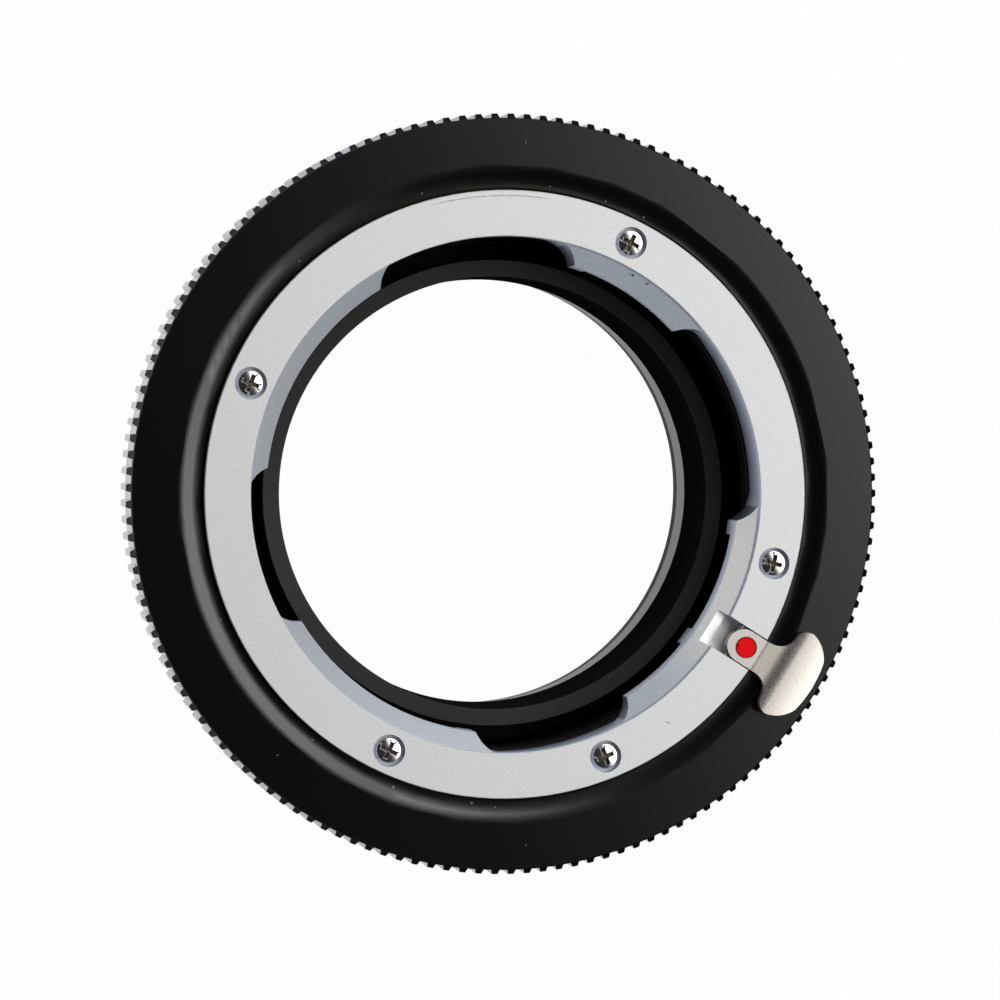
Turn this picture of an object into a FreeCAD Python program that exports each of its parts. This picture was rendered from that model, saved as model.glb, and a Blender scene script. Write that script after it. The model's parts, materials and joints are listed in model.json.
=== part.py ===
"""Macro adapter: a helicoid extension with a bayonet at each end.

The optical axis is +Z with the lens side up. The part stands on the end face of its rear bayonet,
at Z = 0, with the helicoid wound in. Azimuths are degrees from +X towards +Y. Units are millimetres.
"""
import FreeCAD, Part
import math
import os

# Bayonet, shared by both ends
throat_r = 22.0
lug_reach = 1.5
lug_gap_step = 0.3
register_depth = 0.7
lug_t = 3.0
lug_slope = 1.3
lug_scallop_r = 2.8
lug_spans = ((43.2, 72.7), (121.5, 173.5), (211.5, 263.0), (301.4, 353.4))
bayonet_play = 0.05

# Extension
flange_span = 18.0
full_turn_deg = 180.0

# Front bayonet ring
front_ring_w = 3.9
front_flange_t = 2.1
collar_tail = 1.7
collar_wall = 0.8
front_edge_chamfer = 0.06
throat_chamfer = 0.05
lug_stop_deg = 3.5
middle_stop_span = (320.6, 325.0)

# Bayonet screws
front_screw_inset = 1.95
front_screw_angles = (63.7, 156.7, 244.6, 290.6, 345.5)
screw_head_r = 1.05
screw_head_h = 0.55
screw_dome_h = 0.2
screw_sink = 0.05
screw_shank_r = 0.7
screw_len = 3.6
screw_recess_w = 0.36
screw_recess_len = 1.5
screw_recess_depth = 0.4
screw_clearance = 0.1
screw_head_play = 0.32

# Release lever
lever_angle = 327.5
lever_slot_w = 3.1
lever_slot_break = 0.9
lever_slot_scoop_r = 6.0
pad_side_play = 0.11
pad_inset = 0.9
pad_drop = 0.05
pad_t = 1.1
pad_floor_gap = 0.55
pad_overhang = 0.1
pad_outer_lift = 0.7
lever_pivot_inset = 0.5
lever_pivot_drop = 0.6
lever_pin_r = 0.3
lever_pin_len = 6.2
lever_pin_play = 0.05
neck_flare_r = 1.5
neck_straight = 0.2
neck_step = 0.1
crest_reach = 1.6
crest_rise = 1.3
lever_sheet_t = 0.95
scoop_depth = 0.2
scoop_place = 0.4
tab_len = 2.4
tab_tip_rise = 1.4
tab_tip_t = 0.85
tab_corner_half_w = 2.4
tab_corner_drop = 0.3
tab_corner_bulge = 0.42
horn_land = 0.06
horn_len = 1.05
horn_tip_r = 0.5
dot_r = 0.9
dot_inset = 1.7
dot_pocket_depth = 0.2
dot_pocket_play = 0.05
dot_drop = 0.03
spring_arm = 1.1
spring_r = 0.48
spring_wire_r = 0.11
spring_turns = 5
spring_hole_play = 0.11
spring_pocket_depth = 2.4
spring_top_gap = 0.13

# Lens carrier
carrier_step = 0.2
carrier_bore_step = 0.3
carrier_floor_gap = 0.2
collar_fit = 0.05
collar_end_gap = 0.1
light_groove_count = 4
light_groove_pitch = 1.7
light_groove_depth = 0.25
light_groove_first = 1.1

# Guide keys
key_angles = (40.0, 130.0, 220.0, 310.0)
key_w = 4.0
key_t = 2.0
key_play = 0.2
key_top_gap = 0.3

# Inner light tube
light_tube_inset = 0.25
light_tube_wall = 1.45
light_tube_depth = 7.2
light_tube_foot_gap = 0.3
light_tube_foot_t = 0.7
light_tube_chamfer = 0.05

# Rear bayonet ring
male_lug_t = 1.35
male_tail = 0.2
male_tube_gap = 0.15
male_lug_side_play = 1.0
hub_step = 0.15
rear_flange_w = 4.0
rear_flange_t = 1.4
rear_bore_flare = 0.6
rear_edge_chamfer = 0.2
lock_notch_angle = 15.0
lock_notch_w = 3.1
lock_notch_depth = 0.8
lock_notch_len = 1.8

# Rear barrel
web_t = 0.7
web_bore_gap = 0.05
flange_seat_gap = 0.05
sleeve_gap = 0.3
sleeve_wall = 2.0
rim_len = 4.4
rim_setback = 0.2
rim_chamfer = 0.3
index_bead_angle = 290.0
index_bead_r = 1.1
index_bead_depth = 1.0
index_bead_dome = 0.4

# Focusing ring
annulus_drop = 0.5
dish_w = 1.85
dish_depth = 0.22
moat_gap = 0.25
moat_floor_w = 0.2
moat_lip_t = 1.85
skirt_wall = 2.2
skirt_gap = 0.3
skirt_fit = 0.1
skirt_chamfer = 0.2
knurl_step = 1.75
knurl_depth = 0.4
knurl_len = 6.6
knurl_count = 145
knurl_top_w = 0.5
knurl_base_w = 0.75
knurl_front_land = 0.1

# Helicoid nut
nut_thread_gap = 0.2
nut_wall = 1.7
nut_len = 3.8
nut_fit = 0.05
nut_sleeve_gap = 0.4

# Snap ring and stop pin
snap_t = 0.6
snap_depth = 0.65
snap_reach = 0.6
snap_play = 0.2
snap_gap_deg = 16.0
snap_stop_gap = 0.95
stop_angle = 250.0
stop_pin_r = 0.6
stop_depth = 0.7
stop_height = 1.3
stop_play = 0.2
stop_head_drop = 0.1

# Levels along the axis, from the standing face up
male_lug_top_z = male_tail + male_lug_t
register_z = male_lug_top_z + bayonet_play + lug_t
rear_seat_z = register_z + register_depth
front_z = rear_seat_z + flange_span
lug_front_z = front_z - register_depth
lug_back_z = lug_front_z - lug_t
carrier_top_z = front_z - front_flange_t
collar_end_z = lug_back_z - collar_tail
web_z = rear_seat_z + rear_flange_t
web_top_z = web_z + web_t
carrier_bottom_z = web_top_z + carrier_floor_gap
annulus_z = front_z - annulus_drop
moat_z = annulus_z - dish_depth
nut_top_z = moat_z - moat_lip_t
nut_bottom_z = nut_top_z - nut_len
sleeve_top_z = nut_bottom_z - nut_sleeve_gap
rim_z = rear_seat_z + rim_setback
rim_top_z = rim_z + rim_len
skirt_z = rim_top_z + skirt_gap
knurl_z = annulus_z - knurl_len
light_tube_top_z = front_z - light_tube_depth
stop_z = sleeve_top_z - stop_height
stop_low_z = stop_z - stop_pin_r - stop_play
stop_high_z = stop_z + stop_pin_r + stop_play
snap_z = stop_low_z - snap_stop_gap - snap_t
counterbore_depth = screw_head_h + screw_dome_h + screw_sink
pad_top_z = front_z - pad_drop
pad_bottom_z = pad_top_z - pad_t
slot_floor_z = pad_bottom_z - pad_floor_gap
lever_pivot_z = front_z - lever_pivot_drop
spring_seat_z = carrier_top_z - spring_pocket_depth
spring_len = pad_bottom_z - spring_top_gap - spring_seat_z

# Radii from the throat outwards
lug_r = throat_r - lug_reach
gap_r = throat_r + lug_gap_step
scallop_circle_r = gap_r - lug_scallop_r
scallop_squares = lug_r ** 2 + scallop_circle_r ** 2 - lug_scallop_r ** 2
scallop_lead = math.degrees(math.acos(scallop_squares / (2 * lug_r * scallop_circle_r)))
light_tube_r = lug_r - light_tube_inset
light_bore_r = light_tube_r - light_tube_wall
hub_r = light_tube_r + hub_step
male_tube_r = lug_r - male_tube_gap
male_lug_r = throat_r - 2 * bayonet_play
register_r = throat_r - bayonet_play
rear_flange_r = throat_r + rear_flange_w
front_ring_r = throat_r + front_ring_w
collar_r = throat_r + collar_wall
key_circle_r = collar_r + key_play + key_t / 2
carrier_bore_r = throat_r + carrier_bore_step
light_tube_foot_r = carrier_bore_r - light_tube_foot_gap
carrier_r = front_ring_r - carrier_step
nut_bore_r = carrier_r + nut_thread_gap
nut_r = nut_bore_r + nut_wall
sleeve_bore_r = carrier_r + sleeve_gap
sleeve_r = sleeve_bore_r + sleeve_wall
skirt_bore_r = sleeve_r + skirt_fit
rim_r = skirt_bore_r + skirt_wall
knurl_root_r = rim_r + knurl_step
knurl_tip_r = knurl_root_r + knurl_depth
moat_bore_r = front_ring_r + moat_gap
dish_start_r = moat_bore_r + moat_floor_w
annulus_inner_r = dish_start_r + dish_w

# Screw seats, the lever along its radius, and the lever's widths
screw_circle_r = throat_r + front_screw_inset
counterbore_r = screw_head_r + screw_head_play
lever_slot_half_w = lever_slot_w / 2
lever_slot_end_r = throat_r - lever_slot_break
lever_slot_edge_z = lug_front_z - lug_slope * lever_slot_break / lug_reach
lever_slot_depth = lever_slot_edge_z - slot_floor_z
lever_slot_scoop_len = math.sqrt(lever_slot_depth * (2 * lever_slot_scoop_r - lever_slot_depth))
lever_slot_scoop_z = slot_floor_z + lever_slot_scoop_r
lever_slot_floor_r = lever_slot_end_r + lever_slot_scoop_len
pad_half_w = lever_slot_half_w - pad_side_play
pad_inner_r = throat_r + pad_inset
pad_outer_r = front_ring_r + pad_overhang
lever_pivot_r = pad_inner_r + lever_pivot_inset
dot_circle_r = pad_inner_r + dot_inset
spring_circle_r = lever_pivot_r + spring_arm
spring_hole_r = spring_r + spring_wire_r + spring_hole_play
flare_start_r = pad_outer_r + neck_straight
flare_end_r = flare_start_r + neck_flare_r
flare_half_w = pad_half_w + neck_flare_r
crest_r = pad_outer_r + crest_reach
tab_wide_r = flare_end_r + horn_len
tab_tip_r = tab_wide_r + tab_len
tab_half_w = flare_half_w + horn_land + 2 * horn_tip_r
lever_sweep = math.degrees(2 * tab_half_w / pad_inner_r)
spring_pitch = (spring_len - 2 * spring_wire_r) / spring_turns
beyond = 5.0

up = FreeCAD.Vector(0, 0, 1)
centre = FreeCAD.Vector(0, 0, 0)


def at(radius, angle, z=0.0):
    """The point at a radius, an azimuth and a level."""
    turn = math.radians(angle)
    return FreeCAD.Vector(radius * math.cos(turn), radius * math.sin(turn), z)


def side(point):
    """A (radius, level) pair as a point in the XZ plane."""
    return FreeCAD.Vector(point[0], 0, point[1])


def flat(point):
    """An (x, y) pair as a point in the XY plane."""
    return FreeCAD.Vector(point[0], point[1], 0)


def outline(place, start, steps):
    """A face bounded by straight runs and arcs: a step is an end point, or (middle, end) for an arc."""
    edges = []
    here = place(start)
    for step in list(steps) + [start]:
        if isinstance(step[0], tuple):
            there = place(step[1])
            edges.append(Part.Arc(here, place(step[0]), there).toShape())
        else:
            there = place(step)
            edges.append(Part.makeLine(here, there))
        here = there
    return Part.Face(Part.Wire(edges))


def turned(start, *steps, sweep=360.0):
    """A body of revolution about the optical axis."""
    return outline(side, start, steps).revolve(centre, up, sweep)


def tube(inner, outer, low, high):
    """A plain ring."""
    return turned((inner, low), (outer, low), (outer, high), (inner, high))


def sector(inner, outer, low, high, start, end):
    """A slice of a plain ring between two azimuths."""
    middle = (start + end) / 2
    edges = [
        Part.Arc(at(outer, start), at(outer, middle), at(outer, end)).toShape(),
        Part.makeLine(at(outer, end), at(inner, end)),
        Part.Arc(at(inner, end), at(inner, middle), at(inner, start)).toShape(),
        Part.makeLine(at(inner, start), at(outer, start)),
    ]
    slice_face = Part.Face(Part.Wire(edges))
    slice_face.translate(FreeCAD.Vector(0, 0, low))
    return slice_face.extrude(FreeCAD.Vector(0, 0, high - low))


def post(radius, low, high, circle, angle):
    """An upright cylinder on a circle."""
    return Part.makeCylinder(radius, high - low, at(circle, angle, low), up)


def spoke(radius, inner, outer, z, angle):
    """A cylinder that lies along a radius."""
    return Part.makeCylinder(radius, outer - inner, at(inner, angle, z), at(1, angle))


def block(inner, outer, width, low, high, angle):
    """A box that lies along a radius."""
    box = Part.makeBox(outer - inner, width, high - low, FreeCAD.Vector(inner, -width / 2, low))
    box.rotate(centre, up, angle)
    return box


def lever_crossing(radius, half_len, circle, z, extra=0.0):
    """A cylinder that lies across the lever's radius, longer by extra towards the ring's edge."""
    across = at(1, lever_angle - 90)
    start = at(circle, lever_angle, z) - across * half_len
    return Part.makeCylinder(radius, 2 * half_len + extra, start, across)


def lever_pin(radius, half_len, extra=0.0):
    """A cylinder on the lever's pivot axis."""
    return lever_crossing(radius, half_len, lever_pivot_r, lever_pivot_z, extra)


def joined(shapes):
    """Several solids as one."""
    return shapes[0].multiFuse(shapes[1:]).removeSplitter()


def dome(radius, edge_z, height):
    """The arc step of a round cap that rises from its edge to the axis."""
    sphere_r = (radius ** 2 + height ** 2) / (2 * height)
    middle_r = radius / 2
    top_z = edge_z + height
    middle_z = top_z - sphere_r + math.sqrt(sphere_r ** 2 - middle_r ** 2)
    return ((middle_r, middle_z), (0, top_z))


def lug_gaps(low, high):
    """Cutters for the gaps between the female lugs, with scalloped ends tangent to the gaps' floor."""
    cutters = []
    for index, span in enumerate(lug_spans):
        following = lug_spans[(index + 1) % len(lug_spans)]
        start = span[1] + scallop_lead
        end = following[0] - scallop_lead
        if end < start:
            end += 360
        pieces = [sector(lug_r - lug_scallop_r, gap_r, low, high, start, end)]
        for angle in (start, end):
            pieces.append(post(lug_scallop_r, low, high, scallop_circle_r, angle))
        cutters.append(joined(pieces))
    return cutters


def make_front_bayonet_ring():
    """Chrome ring: throat, sloping scalloped lugs with stops behind them, screw seats, the lever's slot."""
    ring = turned(
        (throat_r + throat_chamfer, front_z),
        (front_ring_r - front_edge_chamfer, front_z),
        (front_ring_r, front_z - front_edge_chamfer),
        (front_ring_r, carrier_top_z),
        (collar_r, carrier_top_z),
        (collar_r, collar_end_z),
        (lug_r, collar_end_z),
        (lug_r, lug_front_z - lug_slope),
        (throat_r, lug_front_z),
        (throat_r, front_z - throat_chamfer),
    )
    cutters = lug_gaps(collar_end_z, lug_front_z)
    middle_stop = sector(light_bore_r, gap_r, collar_end_z, lug_back_z, *middle_stop_span)
    for start, end in lug_spans:
        groove_span = (start - scallop_lead, end - lug_stop_deg)
        groove = sector(light_bore_r, gap_r, collar_end_z, lug_back_z, *groove_span)
        cutters.append(groove.cut(middle_stop))
    over_z = front_z + beyond
    under_z = carrier_top_z - beyond
    hole_r = screw_shank_r + screw_clearance
    for angle in front_screw_angles:
        cutters.append(post(counterbore_r, front_z - counterbore_depth, over_z, screw_circle_r, angle))
        cutters.append(post(hole_r, under_z, front_z, screw_circle_r, angle))
    slot_out_r = front_ring_r + beyond
    cutters.append(block(lever_slot_floor_r, slot_out_r, lever_slot_w, slot_floor_z, over_z, lever_angle))
    scoop = (lever_slot_scoop_r, lever_slot_half_w, lever_slot_floor_r, lever_slot_scoop_z)
    cutters.append(lever_crossing(*scoop))
    cutters.append(post(spring_hole_r, under_z, front_z, spring_circle_r, lever_angle))
    cutters.append(lever_pin(lever_pin_r, lever_pin_len / 2, front_ring_r))
    return ring.cut(cutters).removeSplitter()


def make_screw(circle, seat_z, angle, facing):
    """A cross-head screw whose head sits on seat_z and faces up (1) or down (-1)."""
    recess_z = screw_head_h + screw_dome_h - screw_recess_depth
    screw = turned(
        (0, screw_head_h - screw_len),
        (screw_shank_r, screw_head_h - screw_len),
        (screw_shank_r, 0),
        (screw_head_r, 0),
        (screw_head_r, screw_head_h),
        dome(screw_head_r, screw_head_h, screw_dome_h),
    )
    slots = []
    for turn in (0, 90):
        half_len = screw_recess_len / 2
        slots.append(block(-half_len, half_len, screw_recess_w, recess_z, screw_head_h + beyond, turn))
    screw = screw.cut(slots)
    if facing < 0:
        screw.rotate(centre, FreeCAD.Vector(1, 0, 0), 180)
    screw.rotate(centre, up, angle)
    screw.translate(at(circle, angle, seat_z))
    return screw


def make_front_bayonet_screws():
    seat_z = front_z - counterbore_depth
    return Part.makeCompound([make_screw(screw_circle_r, seat_z, angle, 1) for angle in front_screw_angles])


def lever_plan():
    """The lever seen from the front, lying along +X: rounded pad, flared neck and crescent tab."""
    pad_centre = pad_inner_r + pad_half_w
    slant = neck_flare_r * math.sqrt(0.5)
    flare_mid = (flare_start_r + slant, flare_half_w - slant)
    horn = (flare_end_r, tab_half_w - 2 * horn_tip_r)
    horn_mid = ((flare_end_r + tab_wide_r) / 2 - horn_tip_r / 4, tab_half_w - horn_tip_r / 2)
    corner = (tab_tip_r - tab_corner_drop, tab_corner_half_w)
    corner_mid = (
        (corner[0] + tab_wide_r) / 2 + tab_corner_bulge / 2,
        (corner[1] + tab_half_w) / 2 + tab_corner_bulge / 2,
    )
    upper = [
        (flare_mid, (flare_end_r, flare_half_w)),
        horn,
        (horn_mid, (tab_wide_r, tab_half_w)),
        (corner_mid, corner),
    ]
    lower = [
        ((corner_mid[0], -corner_mid[1]), (tab_wide_r, -tab_half_w)),
        ((horn_mid[0], -horn_mid[1]), (horn[0], -horn[1])),
        (flare_end_r, -flare_half_w),
        ((flare_mid[0], -flare_mid[1]), (flare_start_r, -pad_half_w)),
        (pad_centre, -pad_half_w),
    ]
    steps = upper + [((tab_tip_r, 0), (corner[0], -corner[1]))] + lower
    steps.append(((pad_inner_r, 0), (pad_centre, pad_half_w)))
    return outline(flat, (flare_start_r, pad_half_w), steps)


def make_release_lever():
    """Lever: flat pad in the ring's slot, a neck that climbs to a crest, and a scooped crescent tab."""
    crest_z = front_z + crest_rise
    tip_z = front_z + tab_tip_rise
    scoop_mid = (crest_r + (tab_tip_r - crest_r) * scoop_place, crest_z - scoop_depth)
    section = turned(
        (pad_inner_r - beyond, pad_top_z),
        (pad_inner_r - beyond, pad_bottom_z),
        (lever_pivot_r + lever_pin_r, pad_bottom_z),
        (pad_outer_r, pad_bottom_z + pad_outer_lift),
        (crest_r, crest_z - lever_sheet_t),
        (tab_tip_r, tip_z - tab_tip_t),
        (tab_tip_r + beyond, tip_z - tab_tip_t),
        (tab_tip_r + beyond, tip_z),
        (tab_tip_r, tip_z),
        (scoop_mid, (crest_r, crest_z)),
        (pad_outer_r, pad_top_z + neck_step),
        (pad_outer_r, pad_top_z),
        sweep=2 * lever_sweep,
    )
    section.rotate(centre, up, -lever_sweep)
    plan = lever_plan()
    plan.translate(FreeCAD.Vector(0, 0, pad_bottom_z - beyond))
    lever = section.common(plan.extrude(FreeCAD.Vector(0, 0, tip_z - pad_bottom_z + 2 * beyond)))
    lever.rotate(centre, up, lever_angle)
    pocket_z = pad_top_z - dot_pocket_depth
    pocket = post(dot_r + dot_pocket_play, pocket_z, pad_top_z + beyond, dot_circle_r, lever_angle)
    pin_hole = lever_pin(lever_pin_r + lever_pin_play, lever_slot_w)
    return lever.cut([pocket, pin_hole]).removeSplitter()


def make_lever_red_dot():
    return post(dot_r, pad_top_z - dot_pocket_depth, pad_top_z - dot_drop, dot_circle_r, lever_angle)


def make_lever_pivot_pin():
    return lever_pin(lever_pin_r, lever_pin_len / 2)


def make_lever_spring():
    """A small coil spring in the carrier's pocket under the lever's pad."""
    helix = Part.makeHelix(spring_pitch, spring_pitch * spring_turns, spring_r)
    start = FreeCAD.Vector(spring_r, 0, 0)
    wire_section = Part.Wire(Part.makeCircle(spring_wire_r, start, FreeCAD.Vector(0, 1, 0)))
    spring = Part.Wire(helix.Edges).makePipeShell([wire_section], True, True)
    spring.translate(at(spring_circle_r, lever_angle, spring_seat_z + spring_wire_r))
    return spring


def make_lens_carrier():
    """Black tube behind the front ring: light grooves inside, keyways, and seats for screws and spring."""
    groove_steps = []
    for index in range(light_groove_count):
        groove_z = collar_end_z - light_groove_first - index * light_groove_pitch
        groove_steps += [
            (carrier_bore_r, groove_z + light_groove_depth),
            (carrier_bore_r + light_groove_depth, groove_z),
            (carrier_bore_r, groove_z - light_groove_depth),
        ]
    recess_r = collar_r + collar_fit
    recess_z = collar_end_z - collar_end_gap
    carrier = turned(
        (carrier_bore_r, carrier_bottom_z),
        (carrier_r, carrier_bottom_z),
        (carrier_r, carrier_top_z),
        (recess_r, carrier_top_z),
        (recess_r, recess_z),
        (carrier_bore_r, recess_z),
        *groove_steps,
    )
    cutters = []
    for angle in key_angles:
        inner = key_circle_r - key_t / 2 - key_play
        outer = key_circle_r + key_t / 2 + key_play
        width = key_w + 2 * key_play
        cutters.append(block(inner, outer, width, carrier_bottom_z - beyond, front_z, angle))
    screw_end_z = front_z - counterbore_depth + screw_head_h - screw_len
    for angle in front_screw_angles:
        cutters.append(post(screw_shank_r, screw_end_z, front_z, screw_circle_r, angle))
    cutters.append(post(spring_hole_r, spring_seat_z, front_z, spring_circle_r, lever_angle))
    return carrier.cut(cutters).removeSplitter()


def make_guide_keys():
    """Straight keys that stand on the barrel's web and keep the carrier from turning."""
    keys = []
    for angle in key_angles:
        inner = key_circle_r - key_t / 2
        key = block(inner, inner + key_t, key_w, web_top_z, carrier_top_z - key_top_gap, angle)
        rear_screw_end_z = rear_seat_z + counterbore_depth - screw_head_h + screw_len
        keys.append(key.cut(post(screw_shank_r, web_z, rear_screw_end_z, key_circle_r, angle)))
    return Part.makeCompound(keys)


def make_inner_light_tube():
    """Fixed black tube with a flat front face, seated on the rear ring's hub and the barrel's web."""
    return turned(
        (light_bore_r, web_top_z),
        (light_tube_foot_r, web_top_z),
        (light_tube_foot_r, web_top_z + light_tube_foot_t),
        (light_tube_r, web_top_z + light_tube_foot_t),
        (light_tube_r, light_tube_top_z - light_tube_chamfer),
        (light_tube_r - light_tube_chamfer, light_tube_top_z),
        (light_bore_r + light_tube_chamfer, light_tube_top_z),
        (light_bore_r, light_tube_top_z - light_tube_chamfer),
    )


def make_rear_bayonet_ring():
    """Chrome male bayonet: flange, register, neck and four lugs that fit the gaps of the front throat."""
    ring = turned(
        (light_bore_r, web_top_z),
        (light_bore_r + rear_bore_flare, 0),
        (male_tube_r, 0),
        (male_tube_r, register_z),
        (register_r, register_z),
        (register_r, rear_seat_z),
        (rear_flange_r - rear_edge_chamfer, rear_seat_z),
        (rear_flange_r, rear_seat_z + rear_edge_chamfer),
        (rear_flange_r, web_z),
        (hub_r, web_z),
        (hub_r, web_top_z),
    )
    lugs = []
    for index, span in enumerate(lug_spans):
        following = lug_spans[(index + 1) % len(lug_spans)][0]
        if following < span[1]:
            following += 360
        start = span[1] + male_lug_side_play
        end = following - male_lug_side_play
        lug_root_r = light_tube_r - light_tube_wall / 2
        lugs.append(sector(lug_root_r, male_lug_r, male_tail, male_lug_top_z, start, end))
    bore_cutter = turned(
        (0, web_top_z),
        (light_bore_r, web_top_z),
        (light_bore_r + rear_bore_flare, 0),
        (0, 0),
    )
    cutters = [bore_cutter]
    for angle in key_angles:
        seat_z = rear_seat_z + counterbore_depth
        cutters.append(post(counterbore_r, register_z, seat_z, key_circle_r, angle))
        cutters.append(post(screw_shank_r + screw_clearance, rear_seat_z, web_top_z, key_circle_r, angle))
    notch_half_w = lock_notch_w / 2
    notch_end = rear_flange_r - lock_notch_len + notch_half_w
    notch_top_z = rear_seat_z + lock_notch_depth
    reach_r = rear_flange_r + beyond
    cutters.append(block(notch_end, reach_r, lock_notch_w, register_z, notch_top_z, lock_notch_angle))
    cutters.append(post(notch_half_w, register_z, notch_top_z, notch_end, lock_notch_angle))
    return joined([ring] + lugs).cut(cutters).removeSplitter()


def make_rear_bayonet_screws():
    seat_z = rear_seat_z + counterbore_depth
    return Part.makeCompound([make_screw(key_circle_r, seat_z, angle, -1) for angle in key_angles])


def make_rear_barrel():
    """Fixed barrel: web behind the carrier, sleeve that the focusing ring turns on, and an outer rim."""
    seat_r = rear_flange_r + flange_seat_gap
    groove_r = sleeve_r - snap_depth
    barrel = turned(
        (hub_r + web_bore_gap, web_z),
        (seat_r, web_z),
        (seat_r, rim_z),
        (rim_r - rim_chamfer, rim_z),
        (rim_r, rim_z + rim_chamfer),
        (rim_r, rim_top_z - rim_chamfer),
        (rim_r - rim_chamfer, rim_top_z),
        (sleeve_r, rim_top_z),
        (sleeve_r, snap_z),
        (groove_r, snap_z),
        (groove_r, snap_z + snap_t),
        (sleeve_r, snap_z + snap_t),
        (sleeve_r, sleeve_top_z),
        (sleeve_bore_r, sleeve_top_z),
        (sleeve_bore_r, web_top_z),
        (hub_r + web_bore_gap, web_top_z),
    )
    cutters = []
    hole_r = screw_shank_r + screw_clearance
    for angle in key_angles:
        cutters.append(post(hole_r, web_z - beyond, web_top_z + beyond, key_circle_r, angle))
    lead = math.degrees((stop_pin_r + stop_play) / sleeve_r)
    start = stop_angle - lead
    end = stop_angle + full_turn_deg + lead
    floor_r = sleeve_r - stop_depth - stop_play
    cutters.append(sector(floor_r, sleeve_r + beyond, stop_low_z, stop_high_z, start, end))
    middle_z = (rim_z + rim_top_z) / 2
    cutters.append(spoke(index_bead_r, rim_r - index_bead_depth, rim_r + beyond, middle_z, index_bead_angle))
    return barrel.cut(cutters).removeSplitter()


def make_index_bead():
    """Red bead let into the rim, with a domed face."""
    bead = turned(
        (0, -index_bead_depth),
        (index_bead_r, -index_bead_depth),
        (index_bead_r, 0),
        dome(index_bead_r, 0, index_bead_dome),
    )
    bead.rotate(centre, FreeCAD.Vector(0, 1, 0), 90)
    bead.translate(FreeCAD.Vector(rim_r, 0, (rim_z + rim_top_z) / 2))
    bead.rotate(centre, up, index_bead_angle)
    return bead


def make_snap_ring():
    """Open spring ring in the sleeve's groove, holding the focusing ring."""
    inner = sleeve_r - snap_depth
    start = snap_gap_deg / 2
    return sector(inner, sleeve_r + snap_reach, snap_z, snap_z + snap_t, start, 360 - start)


def knurl_prism():
    """A prism whose outline is the ring of straight knurl teeth."""
    half_top = math.degrees(knurl_top_w / 2 / knurl_tip_r)
    half_base = math.degrees(knurl_base_w / 2 / knurl_root_r)
    corners = []
    for index in range(knurl_count):
        tooth = index * 360.0 / knurl_count
        corners.append(at(knurl_root_r, tooth - half_base))
        corners.append(at(knurl_tip_r, tooth - half_top))
        corners.append(at(knurl_tip_r, tooth + half_top))
        corners.append(at(knurl_root_r, tooth + half_base))
    corners.append(corners[0])
    face = Part.Face(Part.makePolygon(corners))
    face.translate(FreeCAD.Vector(0, 0, skirt_z - beyond))
    return face.extrude(FreeCAD.Vector(0, 0, annulus_z - skirt_z + 2 * beyond))


def make_focusing_ring():
    """Black ring: flat front, shallow dish to a moat, knurled grip, and a skirt round the barrel's sleeve."""
    half_w = dish_w / 2
    half_depth = dish_depth / 2
    dish_arc_r = (half_w ** 2 + half_depth ** 2) / (2 * half_depth)
    arc_rise = dish_arc_r - math.sqrt(dish_arc_r ** 2 - (half_w / 2) ** 2)
    hollow_mid = (dish_start_r + half_w / 2, moat_z + arc_rise)
    dish_mid = (dish_start_r + half_w, moat_z + half_depth)
    round_mid = (annulus_inner_r - half_w / 2, annulus_z - arc_rise)
    nut_seat_r = nut_r + nut_fit
    groove_r = sleeve_r + snap_reach + snap_play
    front_r = knurl_root_r - knurl_front_land
    bevel = knurl_tip_r - front_r
    ring = turned(
        (moat_bore_r, moat_z),
        (dish_start_r, moat_z),
        (hollow_mid, dish_mid),
        (round_mid, (annulus_inner_r, annulus_z)),
        (front_r, annulus_z),
        (knurl_tip_r, annulus_z - bevel),
        (knurl_tip_r, knurl_z + bevel),
        (front_r, knurl_z),
        (rim_r, knurl_z),
        (rim_r, skirt_z + skirt_chamfer),
        (rim_r - skirt_chamfer, skirt_z),
        (skirt_bore_r, skirt_z),
        (skirt_bore_r, snap_z - snap_play),
        (groove_r, snap_z - snap_play),
        (groove_r, snap_z + snap_t + snap_play),
        (skirt_bore_r, snap_z + snap_t + snap_play),
        (skirt_bore_r, nut_bottom_z),
        (nut_seat_r, nut_bottom_z),
        (nut_seat_r, nut_top_z),
        (moat_bore_r, nut_top_z),
    )
    pin_hole = spoke(stop_pin_r, sleeve_r - stop_depth, knurl_root_r, stop_z, stop_angle)
    return ring.common(knurl_prism()).cut(pin_hole)


def make_helicoid_nut():
    """Brass nut that drives the carrier, held inside the focusing ring."""
    return tube(nut_bore_r, nut_r, nut_bottom_z, nut_top_z)


def make_stop_pin():
    """Headless screw in the skirt, its tip runs in the sleeve's stop groove."""
    return spoke(stop_pin_r, sleeve_r - stop_depth, rim_r - stop_head_drop, stop_z, stop_angle)


nodes = {
    "front_bayonet_ring": make_front_bayonet_ring,
    "front_bayonet_screws": make_front_bayonet_screws,
    "release_lever": make_release_lever,
    "lever_red_dot": make_lever_red_dot,
    "lever_pivot_pin": make_lever_pivot_pin,
    "lever_spring": make_lever_spring,
    "lens_carrier": make_lens_carrier,
    "guide_keys": make_guide_keys,
    "inner_light_tube": make_inner_light_tube,
    "rear_bayonet_ring": make_rear_bayonet_ring,
    "rear_bayonet_screws": make_rear_bayonet_screws,
    "rear_barrel": make_rear_barrel,
    "index_bead": make_index_bead,
    "snap_ring": make_snap_ring,
    "focusing_ring": make_focusing_ring,
    "helicoid_nut": make_helicoid_nut,
    "stop_pin": make_stop_pin,
}

os.makedirs("parts", exist_ok=True)
for name, make in nodes.items():
    shape = make()
    shape.exportStep("parts/" + name + ".step")
    print(name, len(shape.Solids), shape.isValid(), round(shape.Volume, 2))
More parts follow.
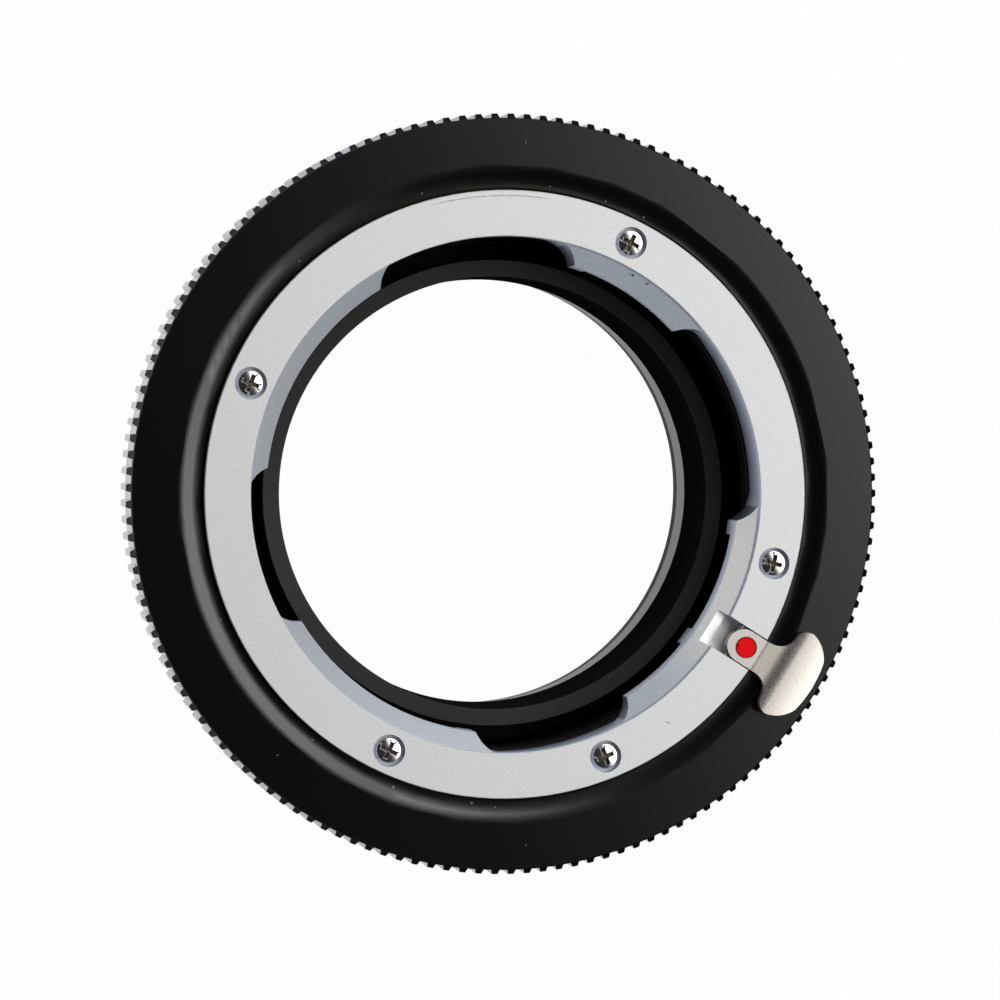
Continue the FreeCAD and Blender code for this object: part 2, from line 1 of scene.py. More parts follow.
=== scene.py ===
"""Macro adapter seen from the front: dressed CAD pieces, finishes, light and camera.

Lengths are metres unless a name ends in _mm. Azimuths are degrees from +X towards +Y.
"""

import json
import math

import bmesh
import bpy
from mathutils import Matrix, Vector


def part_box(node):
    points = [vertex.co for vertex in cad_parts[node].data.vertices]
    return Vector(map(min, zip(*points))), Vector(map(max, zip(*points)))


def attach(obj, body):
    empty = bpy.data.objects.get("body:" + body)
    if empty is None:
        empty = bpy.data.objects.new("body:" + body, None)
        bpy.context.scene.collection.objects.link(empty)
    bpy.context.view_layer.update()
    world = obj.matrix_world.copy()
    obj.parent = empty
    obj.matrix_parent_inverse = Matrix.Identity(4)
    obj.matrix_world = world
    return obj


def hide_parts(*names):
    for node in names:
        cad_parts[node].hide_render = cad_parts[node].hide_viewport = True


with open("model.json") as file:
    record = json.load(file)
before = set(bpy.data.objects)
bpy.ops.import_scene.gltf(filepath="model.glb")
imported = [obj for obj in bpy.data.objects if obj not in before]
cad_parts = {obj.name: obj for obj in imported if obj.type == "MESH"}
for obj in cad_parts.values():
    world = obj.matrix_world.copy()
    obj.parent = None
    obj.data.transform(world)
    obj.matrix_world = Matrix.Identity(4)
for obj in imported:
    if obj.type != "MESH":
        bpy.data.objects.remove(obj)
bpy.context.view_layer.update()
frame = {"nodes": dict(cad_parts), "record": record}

body_of = {}
for body_name, members in frame["record"]["behaviour"]["bodies"].items():
    for member in members:
        body_of[member] = body_name
slot_of = {part["node"]: part["material_slot"] for part in frame["record"]["subparts"]}

mm = 0.001
lever_turn = math.radians(327.5)
level_range = (0.15, 0.5)
grain_detail = 2.0
tone_detail = 1.0

# Dirt, nicks and dust: radius in mm, azimuth in degrees, size in mm
chrome_marks = (
    (21.72, 59.7, 0.14), (21.68, 60.3, 0.09), (21.77, 55.8, 0.12), (21.7, 56.3, 0.07),
    (23.85, 305.0, 0.07), (24.0, 305.25, 0.08), (24.15, 305.5, 0.06),
    (23.3, 192.2, 0.04), (23.5, 193.0, 0.04), (24.9, 343.0, 0.05), (22.9, 254.0, 0.05),
)
ring_dust = (
    (26.5, 63.4, 0.09), (26.45, 71.2, 0.08), (26.5, 82.0, 0.07), (26.6, 106.0, 0.08), (26.6, 132.0, 0.08),
    (26.6, 203.0, 0.07), (26.6, 231.0, 0.08), (26.67, 248.4, 0.13), (26.45, 263.3, 0.12), (26.7, 267.8, 0.07),
    (30.0, 87.0, 0.07), (29.5, 228.0, 0.07), (30.0, 273.0, 0.06),
)
enamel_chips = ((23.87, 326.95, 0.15),)


# Node helpers

def node(tree, kind, **values):
    """A shader node with its properties set by name and its inputs by position, as in_0."""
    made = tree.nodes.new(kind)
    for key, value in values.items():
        if not key.startswith("in_"):
            setattr(made, key, value)
    for key, value in values.items():
        if key.startswith("in_"):
            feed(tree, made.inputs[int(key[3:])], value)
    return made


def feed(tree, socket, value):
    """Links an output to a socket, or sets the socket to a constant."""
    if isinstance(value, bpy.types.NodeSocket):
        tree.links.new(value, socket)
    else:
        socket.default_value = value


def maths(tree, operation, *values):
    """The output of a math node."""
    made = tree.nodes.new("ShaderNodeMath")
    made.operation = operation
    for socket, value in zip(made.inputs, values):
        feed(tree, socket, value)
    return made.outputs[0]


def turned(tree, x, y, turn):
    """How far a point lies along a horizontal direction."""
    along = maths(tree, "MULTIPLY", x, math.cos(turn))
    return maths(tree, "ADD", along, maths(tree, "MULTIPLY", y, math.sin(turn)))


def ramp(tree, value, low, high, to_low=0.0, to_high=1.0):
    """A smooth step of a value from low to high."""
    made = tree.nodes.new("ShaderNodeMapRange")
    made.interpolation_type = "SMOOTHSTEP"
    for socket, number in zip(made.inputs, (value, low, high, to_low, to_high)):
        feed(tree, socket, number)
    return made.outputs[0]


def mixed(tree, share, first, second):
    """A colour between two colours."""
    made = tree.nodes.new("ShaderNodeMix")
    made.data_type = "RGBA"
    feed(tree, made.inputs[0], share)
    feed(tree, made.inputs[6], first)
    feed(tree, made.inputs[7], second)
    return made.outputs[2]


def noise(tree, vector, scale, detail):
    """A noise texture's value."""
    made = node(tree, "ShaderNodeTexNoise")
    feed(tree, made.inputs["Vector"], vector)
    made.inputs["Scale"].default_value = scale
    made.inputs["Detail"].default_value = detail
    return made.outputs[0]


# Finishes

def finish(name, colour, roughness, metallic=0.0, **inputs):
    """A principled material; other inputs go by their name with _ for a space."""
    material = bpy.data.materials.new(name)
    material.use_nodes = True
    shader = material.node_tree.nodes["Principled BSDF"]
    shader.inputs["Base Color"].default_value = (*colour, 1)
    shader.inputs["Roughness"].default_value = roughness
    shader.inputs["Metallic"].default_value = metallic
    for key, value in inputs.items():
        shader.inputs[key.replace("_", " ")].default_value = value
    return material


def opened(material):
    """A material's node tree and its shader's inputs."""
    tree = material.node_tree
    return tree, tree.nodes["Principled BSDF"].inputs


def grain(material, size_mm, depth_mm):
    """Fine noise in the surface's normal. Returns the noise."""
    tree, inputs = opened(material)
    place = node(tree, "ShaderNodeTexCoord").outputs["Object"]
    height = noise(tree, place, 1 / (size_mm * mm), grain_detail)
    bump = node(tree, "ShaderNodeBump")
    bump.inputs["Strength"].default_value = 1.0
    bump.inputs["Distance"].default_value = depth_mm * mm
    feed(tree, bump.inputs["Height"], height)
    feed(tree, inputs["Normal"], bump.outputs[0])
    return height


def place_mm(tree):
    """A point's x, y and z in millimetres at rest."""
    point = node(tree, "ShaderNodeVectorMath", operation="SCALE")
    feed(tree, point.inputs[0], node(tree, "ShaderNodeTexCoord").outputs["Object"])
    point.inputs["Scale"].default_value = 1 / mm
    return node(tree, "ShaderNodeSeparateXYZ", in_0=point.outputs[0]).outputs


def radius_mm(tree, x, y):
    """A point's distance from the optical axis."""
    squares = maths(tree, "ADD", maths(tree, "MULTIPLY", x, x), maths(tree, "MULTIPLY", y, y))
    return maths(tree, "SQRT", squares)


def spots(tree, x, y, places):
    """A mask of small round spots, each given by its radius, azimuth and size in millimetres and degrees."""
    flat = node(tree, "ShaderNodeCombineXYZ", in_0=x, in_1=y).outputs[0]
    mask = None
    for reach_mm, azimuth_deg, size_mm in places:
        turn = math.radians(azimuth_deg)
        gap = node(tree, "ShaderNodeVectorMath", operation="DISTANCE", in_0=flat)
        gap.inputs[1].default_value = (reach_mm * math.cos(turn), reach_mm * math.sin(turn), 0)
        spot = ramp(tree, gap.outputs["Value"], 0.5 * size_mm, size_mm, 1.0, 0.0)
        mask = spot if mask is None else maths(tree, "MAXIMUM", mask, spot)
    return mask


def uprightness(tree):
    """1 on upright walls, 0 on level faces."""
    normal = node(tree, "ShaderNodeNewGeometry").outputs["Normal"]
    level = maths(tree, "ABSOLUTE", node(tree, "ShaderNodeSeparateXYZ", in_0=normal).outputs[2])
    return ramp(tree, level, *level_range, 1.0, 0.0)


finishes = {
    "satin_chrome": finish("satin_chrome", (0.81, 0.815, 0.82), 0.6, 1.0),
    "polished_steel": finish("polished_steel", (0.92, 0.92, 0.92), 0.2, 1.0),
    "satin_steel": finish("satin_steel", (0.8, 0.765, 0.725), 0.42, 1.0),
    "spring_steel": finish("spring_steel", (0.2, 0.2, 0.21), 0.4, 1.0),
    "red_enamel": finish("red_enamel", (0.95, 0.003, 0.006), 0.35, Specular_IOR_Level=0.1),
    "black_anodised": finish("black_anodised", (0.0008, 0.0008, 0.0009), 0.16, Specular_IOR_Level=1.0),
    "matte_black": finish("matte_black", (0.022, 0.0213, 0.0213), 0.55, Specular_IOR_Level=0.0),
    # The brass is darkened far below brass colour: painted shade of the deep gap the nut is seen through
    "brass": finish("brass", (0.09, 0.07, 0.04), 0.5, 1.0),
}
rear_chrome = finish("rear_chrome", (0.74, 0.745, 0.75), 0.4, 1.0, Specular_Tint=(0.25, 0.25, 0.27, 1))
# Darker steel for the screws' cross recesses: painted shade
recess_painted_shade_steel = finish("recess_painted_shade_steel", (0.13, 0.105, 0.09), 0.3, 1.0)
grain(recess_painted_shade_steel, 0.2, 0.15)


# Satin chrome: speckled plating, smoother lugs, upright walls tinted blue as a painted reflection, a short
# worn arc near the rim and dirt

face_roughness = 0.6
lug_roughness = 0.36
wall_roughness = 0.55
lug_rim_mm = (21.9, 21.97)
arc_radius_mm = 25.42
arc_edge_mm = (0.03, 0.08)
arc_y_mm = (24.4, 24.9)
arc_x_mm = (2.5, 4.0)
arc_dots = (0.45, 0.52)
arc_share = 0.75
plating_range = (0.35, 0.65)
plating_dark = (0.755, 0.765, 0.775, 1)
plating_light = (0.9, 0.905, 0.91, 1)
wall_painted_reflection = (0.62, 0.68, 0.8, 1)
arc_grey = (0.2, 0.2, 0.2, 1)
dirt_grey = (0.12, 0.12, 0.12, 1)

speckle = grain(finishes["satin_chrome"], 0.1, 0.006)
tree, inputs = opened(finishes["satin_chrome"])
x, y, z = place_mm(tree)
radius = radius_mm(tree, x, y)
wall = uprightness(tree)
on_lugs = ramp(tree, radius, *lug_rim_mm, 1.0, 0.0)
level_roughness = ramp(tree, on_lugs, 0.0, 1.0, face_roughness, lug_roughness)
upright_roughness = ramp(tree, wall, 0.0, 1.0, 1.0, wall_roughness)
feed(tree, inputs["Roughness"], maths(tree, "MINIMUM", level_roughness, upright_roughness))
off_arc = maths(tree, "ABSOLUTE", maths(tree, "SUBTRACT", radius, arc_radius_mm))
wear = maths(tree, "MULTIPLY", ramp(tree, off_arc, *arc_edge_mm, 1.0, 0.0), ramp(tree, y, *arc_y_mm))
wear = maths(tree, "MULTIPLY", wear, ramp(tree, x, *arc_x_mm, 1.0, 0.0))
wear = maths(tree, "MULTIPLY", wear, ramp(tree, speckle, *arc_dots, 0.0, arc_share))
plating = mixed(tree, ramp(tree, speckle, *plating_range), plating_dark, plating_light)
plating = mixed(tree, wear, plating, arc_grey)
# Upright walls get a bluish colour: a painted reflection of the bluish surroundings they face
plating = mixed(tree, wall, plating, wall_painted_reflection)
feed(tree, inputs["Base Color"], mixed(tree, spots(tree, x, y, chrome_marks), plating, dirt_grey))


# Rear chrome: a dark bore, painted shade deep inside the adapter, blackened above its foot

blacked_r_mm = (19.3, 19.4)
blacked_z_mm = (2.4, 2.5)
bore_r_mm = (19.45, 19.55)
rear_face = (0.74, 0.745, 0.75, 1)
rear_bore_painted_shade = (0.1, 0.103, 0.11, 1)
rear_black = (0.012, 0.012, 0.012, 1)

tree, inputs = opened(rear_chrome)
x, y, z = place_mm(tree)
radius = radius_mm(tree, x, y)
blacked = maths(tree, "MULTIPLY", ramp(tree, radius, *blacked_r_mm, 1.0, 0.0), ramp(tree, z, *blacked_z_mm))
# The bore below the blackened part gets a dark colour: painted shade deep inside the adapter
bare = mixed(tree, ramp(tree, radius, *bore_r_mm, 1.0, 0.0), rear_face, rear_bore_painted_shade)
feed(tree, inputs["Base Color"], mixed(tree, blacked, bare, rear_black))
feed(tree, inputs["Metallic"], maths(tree, "SUBTRACT", 1.0, blacked))


# Black anodising with dust

anodised_black = (0.0008, 0.0008, 0.0009, 1)
dust_tan = (0.3, 0.26, 0.22, 1)

grain(finishes["black_anodised"], 0.1, 0.001)
tree, inputs = opened(finishes["black_anodised"])
x, y, z = place_mm(tree)
feed(tree, inputs["Base Color"], mixed(tree, spots(tree, x, y, ring_dust), anodised_black, dust_tan))


# Satin steel: a fine grain in tone and roughness, duller on the lever's flat pad; the neck and thumb rest get
# a lighter colour than the pad, a painted highlight

pad_end_mm = (25.95, 26.0)
pad_roughness = 0.12
grain_along = 9.0
grain_across = 6.0
grain_range = (0.3, 0.7)
grain_roughness = (0.27, 0.38)
tone_scale = 6.0
tone_range = (0.35, 0.65)
neck_painted_highlight_light = (0.87, 0.82, 0.77, 1)
neck_painted_highlight_dark = (0.8, 0.755, 0.71, 1)
pad_light = (0.75, 0.715, 0.675, 1)
pad_dark = (0.69, 0.655, 0.615, 1)

tree, inputs = opened(finishes["satin_steel"])
x, y, z = place_mm(tree)
along = turned(tree, x, y, lever_turn)
across = turned(tree, x, y, lever_turn + math.pi / 2)
pad = ramp(tree, along, *pad_end_mm, 1.0, 0.0)
point = node(tree, "ShaderNodeCombineXYZ", in_0=x, in_1=y, in_2=z).outputs[0]
tone = noise(tree, point, tone_scale, tone_detail)
# Beyond the pad the lever gets lighter tones: a painted highlight on the neck and thumb rest
light_tone = mixed(tree, pad, neck_painted_highlight_light, pad_light)
dark_tone = mixed(tree, pad, neck_painted_highlight_dark, pad_dark)
feed(tree, inputs["Base Color"], mixed(tree, ramp(tree, tone, *tone_range), dark_tone, light_tone))
along = maths(tree, "MULTIPLY", along, grain_along)
across = maths(tree, "MULTIPLY", across, grain_across)
stretched = node(tree, "ShaderNodeCombineXYZ", in_0=along, in_1=across).outputs[0]
brushing = ramp(tree, noise(tree, stretched, 1.0, tone_detail), *grain_range, *grain_roughness)
feed(tree, inputs["Roughness"], maths(tree, "ADD", brushing, maths(tree, "MULTIPLY", pad, pad_roughness)))


# Red enamel: darker towards its rim, a painted shade of the groove round it, with a chip

enamel_rim = (0.05, 0.16)
enamel_red = (0.95, 0.003, 0.006, 1)
enamel_rim_painted_shade = (0.45, 0.003, 0.004, 1)
chip_dark = (0.03, 0.01, 0.01, 1)

tree, inputs = opened(finishes["red_enamel"])
x, y, z = place_mm(tree)
dot_low, dot_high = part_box("lever_red_dot")
dot_x, dot_y = [(dot_low[i] + dot_high[i]) / 2 / mm for i in (0, 1)]
dot_r = (dot_high[0] - dot_low[0]) / 2 / mm
dot_place = (math.hypot(dot_x, dot_y), math.degrees(math.atan2(dot_y, dot_x)), dot_r)
# The enamel darkens towards its rim: painted shade of the rim groove
heart = ramp(tree, spots(tree, x, y, (dot_place,)), *enamel_rim)
enamel = mixed(tree, heart, enamel_rim_painted_shade, enamel_red)
feed(tree, inputs["Base Color"], mixed(tree, spots(tree, x, y, enamel_chips), enamel, chip_dark))


# Matte black: darker on upright walls than on level faces, painted shade

level_black = (0.046, 0.0445, 0.0445, 1)
upright_painted_shade_black = (0.014, 0.0136, 0.0136, 1)

grain(finishes["matte_black"], 0.15, 0.01)
tree, inputs = opened(finishes["matte_black"])
# Upright walls get the darker black: painted shade
feed(tree, inputs["Base Color"], mixed(tree, uprightness(tree), level_black, upright_painted_shade_black))


# Pieces

merge_dist = 1e-6
flat_angle = math.radians(0.4)
sharp_angle = math.radians(28)
bevel_segments = 2
bevels_mm = {
    "front_bayonet_ring": 0.05,
    "front_bayonet_screws": 0.04,
    "release_lever": 0.1,
    "lever_red_dot": 0.05,
    "lever_pivot_pin": 0.05,
    "lever_spring": 0.0,
    "lens_carrier": 0.05,
    "guide_keys": 0.1,
    "inner_light_tube": 0.04,
    "rear_bayonet_ring": 0.06,
    "rear_bayonet_screws": 0.04,
    "rear_barrel": 0.06,
    "index_bead": 0.0,
    "snap_ring": 0.05,
    "focusing_ring": 0.03,
    "helicoid_nut": 0.1,
    "stop_pin": 0.05,
}


def smooth(shape):
    """Smooth shading that stops at sharp edges."""
    for face in shape.faces:
        face.smooth = True
    for edge in shape.edges:
        edge.smooth = edge.calc_face_angle(0.0) < sharp_angle


def dress(name, bevel_mm):
    """A CAD node's mesh with small rounded edges and smooth shading, shown in the node's place."""
    shape = bmesh.new()
    shape.from_mesh(frame["nodes"][name].data)
    bmesh.ops.remove_doubles(shape, verts=shape.verts, dist=merge_dist)
    bmesh.ops.dissolve_limit(shape, angle_limit=flat_angle, verts=shape.verts, edges=shape.edges)
    for face in shape.faces:
        face.material_index = 0
    smooth(shape)
    mesh = bpy.data.meshes.new(name + "_look")
    shape.to_mesh(mesh)
    shape.free()
    if "custom_normal" in mesh.attributes:
        mesh.attributes.remove(mesh.attributes["custom_normal"])
    piece = bpy.data.objects.new(name + "_look", mesh)
    bpy.context.scene.collection.objects.link(piece)
    mesh.materials.append(finishes[slot_of[name]])
    if bevel_mm:
        rounding = piece.modifiers.new("rounding", "BEVEL")
        rounding.width = bevel_mm * mm
        rounding.segments = bevel_segments
        rounding.limit_method = "ANGLE"
        rounding.angle_limit = sharp_angle
        rounding.harden_normals = True
        rounding.use_clamp_overlap = True
    even = piece.modifiers.new("even_normals", "WEIGHTED_NORMAL")
    even.keep_sharp = True
    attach(piece, body_of[name])
    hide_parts(name)
    return piece


looks = {name: dress(name, bevel_mm) for name, bevel_mm in bevels_mm.items()}
looks["rear_bayonet_ring"].data.materials[0] = rear_chrome
looks["lever_pivot_pin"].data.materials[0] = finishes["spring_steel"]


# Lever: its neck climbs from the pad and rolls over into a crowned thumb rest

front_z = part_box("front_bayonet_ring")[1][2]
neck_start = 26.0 * mm
roll_start = 27.0 * mm
crown = 28.5 * mm
tip = 31.4 * mm
neck_z = front_z + 0.05 * mm
neck_slope = 0.72
tip_slope = -0.17
station_step = 0.1 * mm
station_slack = 0.1
top_skin = 0.3 * mm
lever_merge_dist = 0.3 * station_step
sliver_dist = 0.1 * station_step


def crowned(reach):
    """Height of the lever's top: a straight climb, a round crown, then a gentle fall to the tip."""
    climb = min(reach, roll_start) - neck_start
    height = neck_z + neck_slope * climb
    roll = min(max((reach - roll_start) / (crown - roll_start), 0.0), 1.0)
    height += neck_slope * (crown - roll_start) * (roll - roll * roll / 2)
    fall = max((reach - crown) / (tip - crown), 0.0)
    return height + tip_slope * (tip - crown) * fall * fall / 2


lever_mesh = looks["release_lever"].data
lever_shape = bmesh.new()
lever_shape.from_mesh(lever_mesh)
lever_way = Vector((math.cos(lever_turn), math.sin(lever_turn), 0))
for index in range(1, int((tip - neck_start) / station_step) + 1):
    station = lever_way * (neck_start + station_step * index)
    everything = lever_shape.verts[:] + lever_shape.edges[:] + lever_shape.faces[:]
    bmesh.ops.bisect_plane(lever_shape, geom=everything, plane_co=station, plane_no=lever_way)
tops = {}
for corner in lever_shape.verts:
    place = (corner.co.dot(lever_way) - neck_start) / station_step
    if place > -station_slack and abs(place - round(place)) < station_slack:
        tops[round(place)] = max(corner.co.z, tops.get(round(place), 0.0))
for corner in lever_shape.verts:
    reach = corner.co.dot(lever_way)
    place = (reach - neck_start) / station_step
    if place < station_slack:
        continue
    before = tops.get(int(place), tops[max(tops)])
    after = tops.get(int(place) + 1, before)
    top = before + (after - before) * (place - int(place))
    if corner.co.z > top - top_skin:
        corner.co.z = crowned(reach)
bmesh.ops.remove_doubles(lever_shape, verts=lever_shape.verts, dist=lever_merge_dist)
bmesh.ops.dissolve_degenerate(lever_shape, dist=sliver_dist, edges=lever_shape.edges)
lever_shape.normal_update()
smooth(lever_shape)
lever_shape.to_mesh(lever_mesh)
lever_shape.free()


# Focusing ring: the dish takes its normals from its two arcs

dish_start = 26.35 * mm
dish_w = 1.85 * mm
dish_depth = 0.22 * mm
dish_margin = 0.02 * mm
dish_arc_r = ((dish_w / 2) ** 2 + (dish_depth / 2) ** 2) / dish_depth
least_upward = 0.9


def dish_slope(reach):
    """Rise of the dish's profile, a hollow arc that runs into a round one, at a distance from the axis."""
    run = min(max(reach - dish_start, 0.0), dish_w)
    run = min(run, dish_w - run)
    return run / math.sqrt(dish_arc_r ** 2 - run ** 2)


ring = looks["focusing_ring"]
ring_mesh = bpy.data.meshes.new_from_object(ring.evaluated_get(bpy.context.evaluated_depsgraph_get()))
ring.modifiers.clear()
ring.data = ring_mesh
normals = [Vector(corner.vector) for corner in ring_mesh.corner_normals]
for face in ring_mesh.polygons:
    if face.normal.z < least_upward:
        continue
    for loop in face.loop_indices:
        spot = ring_mesh.vertices[ring_mesh.loops[loop].vertex_index].co
        reach = math.hypot(spot.x, spot.y)
        if dish_start - dish_margin < reach < dish_start + dish_w + dish_margin:
            slope = dish_slope(reach)
            normals[loop] = Vector((-slope * spot.x / reach, -slope * spot.y / reach, 1)).normalized()
ring_mesh.normals_split_custom_set(normals)


# Screws: the walls and floors of their cross recesses get a darker steel, painted shade

recess_r = 0.8 * mm
recess_least = 0.13 * mm
recess_most = 0.5 * mm


def paint_recess_shade(name):
    """Gives the faces inside each screw head's recess the darker recess steel, painted shade."""
    mesh = looks[name].data
    mesh.materials.append(recess_painted_shade_steel)
    shape = bmesh.new()
    shape.from_mesh(mesh)
    faces_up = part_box(name)[1][2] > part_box("rear_barrel")[1][2]
    left = set(shape.verts)
    while left:
        screw = [left.pop()]
        for corner in screw:
            for edge in corner.link_edges:
                other = edge.other_vert(corner)
                if other in left:
                    left.remove(other)
                    screw.append(other)
        head_z = max(v.co.z for v in screw) if faces_up else min(v.co.z for v in screw)
        axis_x = (min(v.co.x for v in screw) + max(v.co.x for v in screw)) / 2
        axis_y = (min(v.co.y for v in screw) + max(v.co.y for v in screw)) / 2
        for face in {face for corner in screw for face in corner.link_faces}:
            middle = face.calc_center_median()
            reach = math.hypot(middle.x - axis_x, middle.y - axis_y)
            if reach < recess_r and recess_least < abs(middle.z - head_z) < recess_most:
                face.material_index = 1
    shape.to_mesh(mesh)
    shape.free()


paint_recess_shade("front_bayonet_screws")
paint_recess_shade("rear_bayonet_screws")


# Helicoid thread of the lens carrier

thread_starts = 24
thread_lead = 24 * mm
thread_h = 0.14 * mm
thread_sink = 0.02 * mm
thread_base_half_w = 0.32 * mm
thread_crest_half_w = 0.15 * mm
thread_margin = 0.5 * mm
thread_steps = 60
carrier_low, carrier_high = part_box("lens_carrier")
thread_low = carrier_low[2] + thread_margin
thread_rise = carrier_high[2] - thread_margin - thread_low
thread_root_r = carrier_high[0] - thread_sink
thread_crest_r = carrier_high[0] + thread_h
thread_section = (
    (-thread_base_half_w, thread_root_r),
    (-thread_crest_half_w, thread_crest_r),
    (thread_crest_half_w, thread_crest_r),
    (thread_base_half_w, thread_root_r),
)
thread_shape = bmesh.new()
for start in range(thread_starts):
    sections = []
    for step in range(thread_steps + 1):
        climb = thread_rise * step / thread_steps
        turn = 2 * math.pi * (start / thread_starts + climb / thread_lead)
        height = thread_low + climb
        corners = []
        for lift, reach in thread_section:
            spot = (reach * math.cos(turn), reach * math.sin(turn), height + lift)
            corners.append(thread_shape.verts.new(spot))
        sections.append(corners)
    for lower, upper in zip(sections, sections[1:]):
        for i in range(len(thread_section)):
            thread_shape.faces.new((lower[i - 1], lower[i], upper[i], upper[i - 1]))
    thread_shape.faces.new(sections[0])
    thread_shape.faces.new(sections[-1])
bmesh.ops.recalc_face_normals(thread_shape, faces=thread_shape.faces)
thread_mesh = bpy.data.meshes.new("helicoid_thread")
thread_shape.to_mesh(thread_mesh)
thread_shape.free()
thread = bpy.data.objects.new("helicoid_thread", thread_mesh)
bpy.context.scene.collection.objects.link(thread)
thread_mesh.materials.append(finishes[slot_of["lens_carrier"]])
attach(thread, body_of["lens_carrier"])


# Floor: white to the eye and in reflections, with the object's shadow

floor_r = 80 * mm
floor_drop = 0.02 * mm
floor_glow = 0.98
floor_white = (0.9, 0.9, 0.9, 1)

floor_shape = bmesh.new()
bmesh.ops.create_circle(floor_shape, cap_ends=True, segments=128, radius=floor_r)
floor_mesh = bpy.data.meshes.new("floor")
floor_shape.to_mesh(floor_mesh)
floor_shape.free()
floor = bpy.data.objects.new("floor", floor_mesh)
floor.location.z = -floor_drop
bpy.context.scene.collection.objects.link(floor)
floor_finish = bpy.data.materials.new("white_floor")
floor_finish.use_nodes = True
tree = floor_finish.node_tree
tree.nodes.clear()
path = node(tree, "ShaderNodeLightPath")
seen = maths(tree, "MAXIMUM", path.outputs["Is Camera Ray"], path.outputs["Is Glossy Ray"])
seen = maths(tree, "MAXIMUM", seen, path.outputs["Is Transmission Ray"])
lit = node(tree, "ShaderNodeBsdfDiffuse", in_0=floor_white)
glow = node(tree, "ShaderNodeEmission", in_0=(1, 1, 1, 1), in_1=1.0)
both = node(tree, "ShaderNodeMixShader", in_0=floor_glow, in_1=lit.outputs[0], in_2=glow.outputs[0])
shown = node(tree, "ShaderNodeMixShader", in_0=seen, in_1=lit.outputs[0], in_2=both.outputs[0])
node(tree, "ShaderNodeOutputMaterial", in_0=shown.outputs[0])
floor_mesh.materials.append(floor_finish)


# Light: a studio with one large soft box on the right, a pale band round the horizon and dark overhead

world = bpy.data.worlds.new("studio")
bpy.context.scene.world = world
world.use_nodes = True
sky_tree = world.node_tree
sky_tree.nodes.clear()
sky_way = node(sky_tree, "ShaderNodeTexCoord").outputs["Generated"]
way_x, way_y, way_z = node(sky_tree, "ShaderNodeSeparateXYZ", in_0=sky_way).outputs
way_z_square = maths(sky_tree, "MULTIPLY", way_z, way_z)
way_level = maths(sky_tree, "SQRT", maths(sky_tree, "SUBTRACT", 1.0001, way_z_square))
least_way_z = 0.02


def cosine(degrees):
    return math.cos(math.radians(degrees))


def sector(azimuth, inner_az, outer_az):
    """A soft-edged range of azimuths, given by its middle and its half widths."""
    along = maths(sky_tree, "DIVIDE", turned(sky_tree, way_x, way_y, math.radians(azimuth)), way_level)
    return ramp(sky_tree, along, cosine(outer_az), cosine(inner_az))


def above(low, low_soft):
    """The sky above a zenith angle with a soft edge."""
    return ramp(sky_tree, way_z, cosine(low), cosine(low - low_soft))


def zenith_band(top, top_soft, low, low_soft):
    """A band of sky between two zenith angles with soft edges."""
    upper = ramp(sky_tree, way_z, cosine(top + top_soft), cosine(top), 1.0, 0.0)
    return maths(sky_tree, "MULTIPLY", upper, above(low, low_soft))


def panel(azimuth, inner_az, outer_az, **band):
    """A soft-edged patch of a band, with its half widths in azimuth."""
    return maths(sky_tree, "MULTIPLY", sector(azimuth, inner_az, outer_az), zenith_band(**band))


def soft_box(azimuth, near, far, side_azimuth, inner_az, outer_az, low, low_soft):
    """A large panel beside the object: a straight soft edge overhead at near to far, and soft sides."""
    along = turned(sky_tree, way_x, way_y, math.radians(azimuth))
    slope = maths(sky_tree, "DIVIDE", along, maths(sky_tree, "MAXIMUM", way_z, least_way_z))
    sides = maths(sky_tree, "MULTIPLY", sector(side_azimuth, inner_az, outer_az), above(low, low_soft))
    return maths(sky_tree, "MULTIPLY", ramp(sky_tree, slope, near, far), sides)


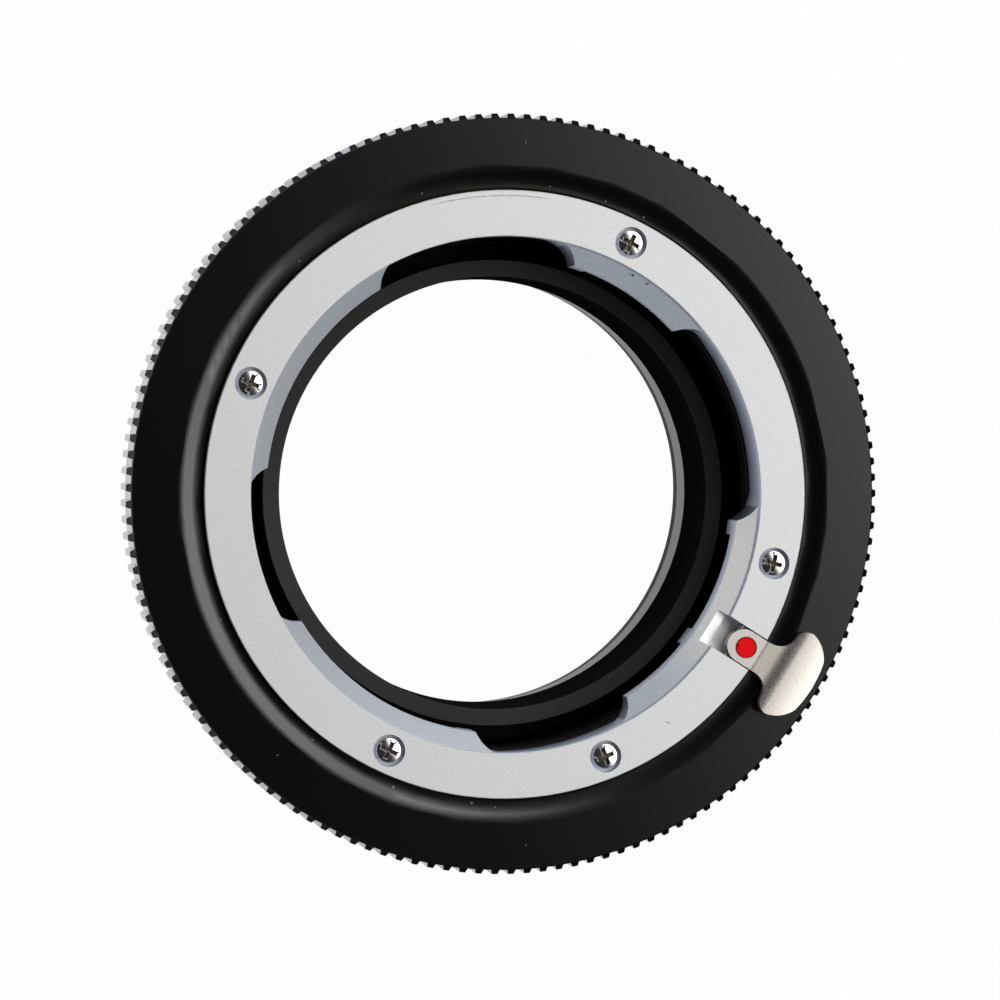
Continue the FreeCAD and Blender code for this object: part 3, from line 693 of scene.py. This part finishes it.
def lit_by(light, colour, share):
    """A light with a colour's share added."""
    scaled = node(sky_tree, "ShaderNodeVectorMath", operation="SCALE")
    scaled.inputs[0].default_value = colour
    feed(sky_tree, scaled.inputs["Scale"], share)
    added = node(sky_tree, "ShaderNodeVectorMath", operation="ADD", in_0=light, in_1=scaled.outputs[0])
    return added.outputs[0]


dim_sky = (0.015, 0.015, 0.0153)
box_light = (2.6, 2.57, 2.5)
band_light = (0.395, 0.43, 0.48)
warm_light = (0.42, 0.38, 0.3)
blue_light = (0.04, 0.06, 0.1)
box = soft_box(
    azimuth=22, near=0.14, far=0.49, side_azimuth=26, inner_az=35, outer_az=85, low=69, low_soft=14)
band = zenith_band(top=45, top_soft=20, low=92, low_soft=8)
warm_panel = panel(azimuth=158, inner_az=15, outer_az=35, top=40, top_soft=12, low=88, low_soft=10)
blue_panel = panel(azimuth=85, inner_az=25, outer_az=60, top=60, top_soft=20, low=102, low_soft=8)
sky = lit_by(dim_sky, box_light, box)
sky = lit_by(sky, band_light, band)
sky = lit_by(sky, warm_light, warm_panel)
sky = lit_by(sky, blue_light, blue_panel)
camera_ray = node(sky_tree, "ShaderNodeLightPath").outputs["Is Camera Ray"]
sky = mixed(sky_tree, camera_ray, sky, (1, 1, 1, 1))
background = node(sky_tree, "ShaderNodeBackground", in_0=sky, in_1=1.0)
node(sky_tree, "ShaderNodeOutputWorld", in_0=background.outputs[0])


# Camera

aim = Vector((-0.754, -0.431, 23.3)) * mm
tilt = math.radians(9.895)
azimuth = math.radians(171.92)
distance = 330.0 * mm
back = Vector((math.sin(tilt) * math.cos(azimuth), math.sin(tilt) * math.sin(azimuth), math.cos(tilt)))
right = Vector((0, 1, 0)).cross(back).normalized()
top = back.cross(right)
lens = bpy.data.cameras.new("camera")
lens.sensor_width = 36
lens.lens = 139.76
lens.clip_start = 0.01
lens.clip_end = 20
camera = bpy.data.objects.new("camera", lens)
bpy.context.scene.collection.objects.link(camera)
place = aim + back * distance
rows = [(right[i], top[i], back[i], place[i]) for i in range(3)]
camera.matrix_world = Matrix(rows + [(0, 0, 0, 1)])
bpy.context.scene.camera = camera

bpy.context.scene.view_settings.view_transform = "Standard"
